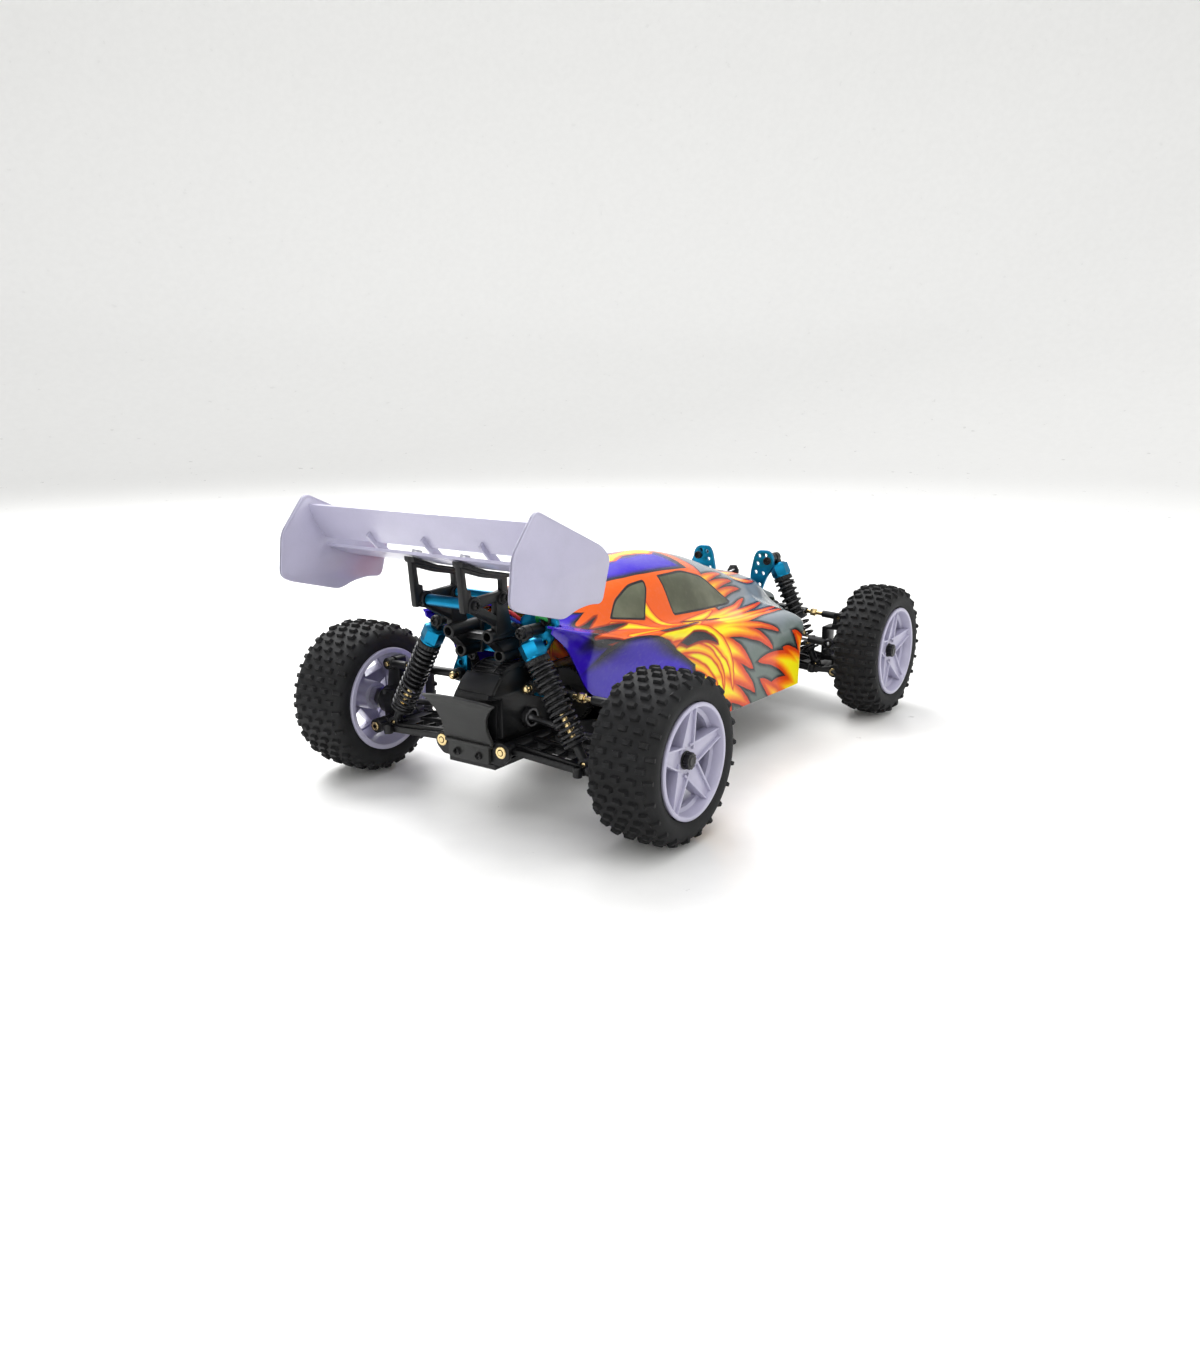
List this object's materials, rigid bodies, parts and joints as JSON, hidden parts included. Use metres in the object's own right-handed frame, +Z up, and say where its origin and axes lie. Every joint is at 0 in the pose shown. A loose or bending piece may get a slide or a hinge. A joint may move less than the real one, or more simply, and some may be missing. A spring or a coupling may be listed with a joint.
{
  "type": "rc buggy",
  "caption": "Small-scale electric off-road buggy with driven wheels, independent sprung suspension, steering, a rear wing and a lift-off painted body shell.",
  "frame": {"origin": "on the ground under the middle of the whole buggy's box", "axes": "+X forward, +Y to the left as seen by a driver, +Z up"},
  "size_m": [0.4026, 0.2438, 0.1674],
  "materials": {
    "black_plastic": "moulded glass-filled nylon, satin black",
    "grey_plastic": "moulded plastic, dark grey, fine grain",
    "tyre_rubber": "charcoal rubber with a pin tread",
    "lavender_plastic": "pale lavender moulded nylon, semi-gloss",
    "blue_aluminium": "sky-blue anodised aluminium",
    "steel": "bright machined steel",
    "spring_steel": "black coated spring wire",
    "brass": "pale brass balls, clips and screws",
    "painted_shell": "polycarbonate in violet, orange, yellow and grey-green flames under gloss",
    "battery_wrap": "shrink-wrapped cells",
    "gear_nylon": "natural nylon",
    "wire": "silicone wire insulation"
  },
  "bodies": {
    "chassis": {"chassis": "black_plastic", "rear_gearbox": "black_plastic", "front_gearbox": "black_plastic", "rear_shock_tower": "blue_aluminium", "front_shock_tower": "blue_aluminium", "front_bumper": "black_plastic", "rear_bumper": "grey_plastic", "wing_mount": "black_plastic", "rear_wing": "lavender_plastic", "motor": "steel", "battery_pack": "battery_wrap", "steering_servo": "black_plastic"},
    "body_shell": {"body_shell": "painted_shell"},
    "centre_shaft": {"centre_shaft": "gear_nylon"},
    "motor_pinion": {"motor_pinion": "steel"},
    "steering_rack": {"steering_rack": "black_plastic"},
    "tie_rod_left": {"tie_rod_left": "black_plastic"},
    "tie_rod_right": {"tie_rod_right": "black_plastic"},
    "rear_left_lower_arm": {"rear_left_lower_arm": "black_plastic"},
    "rear_left_hub_carrier": {"rear_left_hub_carrier": "black_plastic"},
    "rear_left_wheel": {"rear_left_tyre": "tyre_rubber", "rear_left_rim": "lavender_plastic", "rear_left_axle": "steel"},
    "rear_left_upper_link": {"rear_left_upper_link": "black_plastic"},
    "rear_left_drive_shaft": {"rear_left_drive_shaft": "steel"},
    "rear_left_shock_body": {"rear_left_shock_body": "black_plastic", "rear_left_spring": "spring_steel"},
    "rear_left_shock_rod": {"rear_left_shock_rod": "steel"},
    "rear_right_lower_arm": {"rear_right_lower_arm": "black_plastic"},
    "rear_right_hub_carrier": {"rear_right_hub_carrier": "black_plastic"},
    "rear_right_wheel": {"rear_right_tyre": "tyre_rubber", "rear_right_rim": "lavender_plastic", "rear_right_axle": "steel"},
    "rear_right_upper_link": {"rear_right_upper_link": "black_plastic"},
    "rear_right_drive_shaft": {"rear_right_drive_shaft": "steel"},
    "rear_right_shock_body": {"rear_right_shock_body": "black_plastic", "rear_right_spring": "spring_steel"},
    "rear_right_shock_rod": {"rear_right_shock_rod": "steel"},
    "front_left_lower_arm": {"front_left_lower_arm": "black_plastic"},
    "front_left_c_hub": {"front_left_c_hub": "black_plastic"},
    "front_left_knuckle": {"front_left_knuckle": "black_plastic"},
    "front_left_wheel": {"front_left_tyre": "tyre_rubber", "front_left_rim": "lavender_plastic", "front_left_axle": "steel"},
    "front_left_upper_link": {"front_left_upper_link": "black_plastic"},
    "front_left_drive_shaft": {"front_left_drive_shaft": "steel"},
    "front_left_shock_body": {"front_left_shock_body": "black_plastic", "front_left_spring": "spring_steel"},
    "front_left_shock_rod": {"front_left_shock_rod": "steel"},
    "front_right_lower_arm": {"front_right_lower_arm": "black_plastic"},
    "front_right_c_hub": {"front_right_c_hub": "black_plastic"},
    "front_right_knuckle": {"front_right_knuckle": "black_plastic"},
    "front_right_wheel": {"front_right_tyre": "tyre_rubber", "front_right_rim": "lavender_plastic", "front_right_axle": "steel"},
    "front_right_upper_link": {"front_right_upper_link": "black_plastic"},
    "front_right_drive_shaft": {"front_right_drive_shaft": "steel"},
    "front_right_shock_body": {"front_right_shock_body": "black_plastic", "front_right_spring": "spring_steel"},
    "front_right_shock_rod": {"front_right_shock_rod": "steel"}
  },
  "joints": [
    {"name": "rear_left_suspension", "type": "hinge", "parent": "chassis", "child": "rear_left_lower_arm", "pos_m": [-0.1207, 0.0204, 0.037], "axis": [1, 0, 0], "range_deg": [-8, 16], "stiffness_Nm_per_rad": 0.9, "springref_deg": -11.34},
    {"name": "rear_left_hub_pin", "type": "hinge", "parent": "rear_left_lower_arm", "child": "rear_left_hub_carrier", "pos_m": [-0.1207, 0.078, 0.033], "axis": [1, 0, 0], "range_deg": [-16.3, 8.3]},
    {"name": "rear_left_wheel_spin", "type": "hinge", "parent": "rear_left_hub_carrier", "child": "rear_left_wheel", "pos_m": [-0.1207, 0, 0.044], "axis": [0, 1, 0], "continuous": true},
    {"name": "rear_left_upper_link_pivot", "type": "hinge", "parent": "chassis", "child": "rear_left_upper_link", "pos_m": [-0.1257, 0.0253, 0.0683], "axis": [1, 0, 0], "range_deg": [-9, 17.8]},
    {"name": "rear_left_drive_shaft_tilt", "type": "hinge", "parent": "chassis", "child": "rear_left_drive_shaft", "pos_m": [-0.1207, 0.0195, 0.05], "axis": [1, 0, 0], "range_deg": [-8.4, 16.5]},
    {"name": "rear_left_shock_pivot", "type": "hinge", "parent": "chassis", "child": "rear_left_shock_body", "pos_m": [-0.135, 0.029, 0.0995], "axis": [1, 0, 0], "range_deg": [-2.7, 5.2]},
    {"name": "rear_left_shock_stroke", "type": "slide", "parent": "rear_left_shock_body", "child": "rear_left_shock_rod", "axis": [0, -0.5064, 0.8623], "range_m": [-0.0061, 0.0117], "deforming": ["rear_left_spring"]},
    {"name": "rear_right_suspension", "type": "hinge", "parent": "chassis", "child": "rear_right_lower_arm", "pos_m": [-0.1207, -0.0204, 0.037], "axis": [-1, 0, 0], "range_deg": [-8, 16], "stiffness_Nm_per_rad": 0.9, "springref_deg": -11.34},
    {"name": "rear_right_hub_pin", "type": "hinge", "parent": "rear_right_lower_arm", "child": "rear_right_hub_carrier", "pos_m": [-0.1207, -0.078, 0.033], "axis": [-1, 0, 0], "range_deg": [-16.3, 8.3]},
    {"name": "rear_right_wheel_spin", "type": "hinge", "parent": "rear_right_hub_carrier", "child": "rear_right_wheel", "pos_m": [-0.1207, 0, 0.044], "axis": [0, 1, 0], "continuous": true},
    {"name": "rear_right_upper_link_pivot", "type": "hinge", "parent": "chassis", "child": "rear_right_upper_link", "pos_m": [-0.1257, -0.0253, 0.0683], "axis": [-1, 0, 0], "range_deg": [-9, 17.8]},
    {"name": "rear_right_drive_shaft_tilt", "type": "hinge", "parent": "chassis", "child": "rear_right_drive_shaft", "pos_m": [-0.1207, -0.0195, 0.05], "axis": [-1, 0, 0], "range_deg": [-8.4, 16.5]},
    {"name": "rear_right_shock_pivot", "type": "hinge", "parent": "chassis", "child": "rear_right_shock_body", "pos_m": [-0.135, -0.029, 0.0995], "axis": [-1, 0, 0], "range_deg": [-2.7, 5.2]},
    {"name": "rear_right_shock_stroke", "type": "slide", "parent": "rear_right_shock_body", "child": "rear_right_shock_rod", "axis": [0, 0.5064, 0.8623], "range_m": [-0.0061, 0.0117], "deforming": ["rear_right_spring"]},
    {"name": "front_left_suspension", "type": "hinge", "parent": "chassis", "child": "front_left_lower_arm", "pos_m": [0.1573, 0.0204, 0.033], "axis": [1, 0, 0], "range_deg": [-8, 16], "stiffness_Nm_per_rad": 0.6, "springref_deg": -10.49},
    {"name": "front_left_hub_pin", "type": "hinge", "parent": "front_left_lower_arm", "child": "front_left_c_hub", "pos_m": [0.1573, 0.076, 0.027], "axis": [1, 0, 0], "range_deg": [-16.3, 8.3]},
    {"name": "front_left_steering", "type": "hinge", "parent": "front_left_c_hub", "child": "front_left_knuckle", "pos_m": [0.1573, 0.076, 0.044], "axis": [0, 0, 1], "range_deg": [-22, 22]},
    {"name": "front_left_wheel_spin", "type": "hinge", "parent": "front_left_knuckle", "child": "front_left_wheel", "pos_m": [0.1573, 0, 0.044], "axis": [0, 1, 0], "continuous": true},
    {"name": "front_left_upper_link_pivot", "type": "hinge", "parent": "chassis", "child": "front_left_upper_link", "pos_m": [0.1573, 0.0225, 0.066], "axis": [1, 0, 0], "range_deg": [-9, 17.6]},
    {"name": "front_left_drive_shaft_tilt", "type": "hinge", "parent": "chassis", "child": "front_left_drive_shaft", "pos_m": [0.1573, 0.0195, 0.048], "axis": [1, 0, 0], "range_deg": [-8.2, 16.1]},
    {"name": "front_left_shock_pivot", "type": "hinge", "parent": "chassis", "child": "front_left_shock_body", "pos_m": [0.1453, 0.028, 0.1025], "axis": [1, 0, 0], "range_deg": [-2.1, 4]},
    {"name": "front_left_shock_stroke", "type": "slide", "parent": "front_left_shock_body", "child": "front_left_shock_rod", "axis": [0, -0.427, 0.9043], "range_m": [-0.0057, 0.011], "deforming": ["front_left_spring"]},
    {"name": "front_right_suspension", "type": "hinge", "parent": "chassis", "child": "front_right_lower_arm", "pos_m": [0.1573, -0.0204, 0.033], "axis": [-1, 0, 0], "range_deg": [-8, 16], "stiffness_Nm_per_rad": 0.6, "springref_deg": -10.49},
    {"name": "front_right_hub_pin", "type": "hinge", "parent": "front_right_lower_arm", "child": "front_right_c_hub", "pos_m": [0.1573, -0.076, 0.027], "axis": [-1, 0, 0], "range_deg": [-16.3, 8.3]},
    {"name": "front_right_steering", "type": "hinge", "parent": "front_right_c_hub", "child": "front_right_knuckle", "pos_m": [0.1573, -0.076, 0.044], "axis": [0, 0, 1], "range_deg": [-22.5, 22.5]},
    {"name": "front_right_wheel_spin", "type": "hinge", "parent": "front_right_knuckle", "child": "front_right_wheel", "pos_m": [0.1573, 0, 0.044], "axis": [0, 1, 0], "continuous": true},
    {"name": "front_right_upper_link_pivot", "type": "hinge", "parent": "chassis", "child": "front_right_upper_link", "pos_m": [0.1573, -0.0225, 0.066], "axis": [-1, 0, 0], "range_deg": [-9, 17.6]},
    {"name": "front_right_drive_shaft_tilt", "type": "hinge", "parent": "chassis", "child": "front_right_drive_shaft", "pos_m": [0.1573, -0.0195, 0.048], "axis": [-1, 0, 0], "range_deg": [-8.2, 16.1]},
    {"name": "front_right_shock_pivot", "type": "hinge", "parent": "chassis", "child": "front_right_shock_body", "pos_m": [0.1453, -0.028, 0.1025], "axis": [-1, 0, 0], "range_deg": [-2.1, 4]},
    {"name": "front_right_shock_stroke", "type": "slide", "parent": "front_right_shock_body", "child": "front_right_shock_rod", "axis": [0, 0.427, 0.9043], "range_m": [-0.0057, 0.011], "deforming": ["front_right_spring"]},
    {"name": "steering_rack_slide", "type": "slide", "parent": "chassis", "child": "steering_rack", "axis": [0, 1, 0], "range_m": [-0.0094, 0.0094]},
    {"name": "tie_rod_left_tilt", "type": "hinge", "parent": "steering_rack", "child": "tie_rod_left", "pos_m": [0.1273, 0.014, 0.055], "axis": [1, 0, 0], "range_deg": [-7.5, 14.7]},
    {"name": "tie_rod_right_tilt", "type": "hinge", "parent": "steering_rack", "child": "tie_rod_right", "pos_m": [0.1273, -0.014, 0.055], "axis": [-1, 0, 0], "range_deg": [-7.5, 14.7]},
    {"name": "centre_shaft_spin", "type": "hinge", "parent": "chassis", "child": "centre_shaft", "pos_m": [0, 0, 0.046], "axis": [1, 0, 0], "continuous": true},
    {"name": "motor_spin", "type": "hinge", "parent": "chassis", "child": "motor_pinion", "pos_m": [-0.0597, -0.02261, 0.048], "axis": [1, 0, 0], "continuous": true},
    {"name": "body_shell_lift", "type": "slide", "parent": "chassis", "child": "body_shell", "axis": [0, 0, 1], "range_m": [0, 0.08]}
  ],
  "couplings": [
    {"joint": "rear_left_hub_pin", "follows": "rear_left_suspension", "ratio": -1},
    {"joint": "rear_left_upper_link_pivot", "follows": "rear_left_suspension", "ratio": 1.0883},
    {"joint": "rear_left_drive_shaft_tilt", "follows": "rear_left_suspension", "ratio": 1.0099},
    {"joint": "rear_left_shock_pivot", "follows": "rear_left_suspension", "ratio": 0.302},
    {"joint": "rear_left_shock_stroke", "follows": "rear_left_suspension", "m_per_rad": 0.04036},
    {"joint": "rear_right_hub_pin", "follows": "rear_right_suspension", "ratio": -1},
    {"joint": "rear_right_upper_link_pivot", "follows": "rear_right_suspension", "ratio": 1.0883},
    {"joint": "rear_right_drive_shaft_tilt", "follows": "rear_right_suspension", "ratio": 1.0099},
    {"joint": "rear_right_shock_pivot", "follows": "rear_right_suspension", "ratio": 0.302},
    {"joint": "rear_right_shock_stroke", "follows": "rear_right_suspension", "m_per_rad": 0.04036},
    {"joint": "front_left_hub_pin", "follows": "front_left_suspension", "ratio": -1},
    {"joint": "front_left_upper_link_pivot", "follows": "front_left_suspension", "ratio": 1.0766},
    {"joint": "front_left_drive_shaft_tilt", "follows": "front_left_suspension", "ratio": 0.9837},
    {"joint": "front_left_shock_pivot", "follows": "front_left_suspension", "ratio": 0.228},
    {"joint": "front_left_shock_stroke", "follows": "front_left_suspension", "m_per_rad": 0.03774},
    {"joint": "tie_rod_left_tilt", "follows": "front_left_suspension", "ratio": 0.8976},
    {"joint": "front_right_hub_pin", "follows": "front_right_suspension", "ratio": -1},
    {"joint": "front_right_upper_link_pivot", "follows": "front_right_suspension", "ratio": 1.0766},
    {"joint": "front_right_drive_shaft_tilt", "follows": "front_right_suspension", "ratio": 0.9837},
    {"joint": "front_right_shock_pivot", "follows": "front_right_suspension", "ratio": 0.228},
    {"joint": "front_right_shock_stroke", "follows": "front_right_suspension", "m_per_rad": 0.03774},
    {"joint": "tie_rod_right_tilt", "follows": "front_right_suspension", "ratio": 0.8976},
    {"joint": "front_right_steering", "follows": "front_left_steering", "ratio": 1},
    {"joint": "steering_rack_slide", "follows": "front_left_steering", "m_per_rad": -0.02342},
    {"joint": "motor_spin", "follows": "centre_shaft_spin", "ratio": -3}
  ]
}
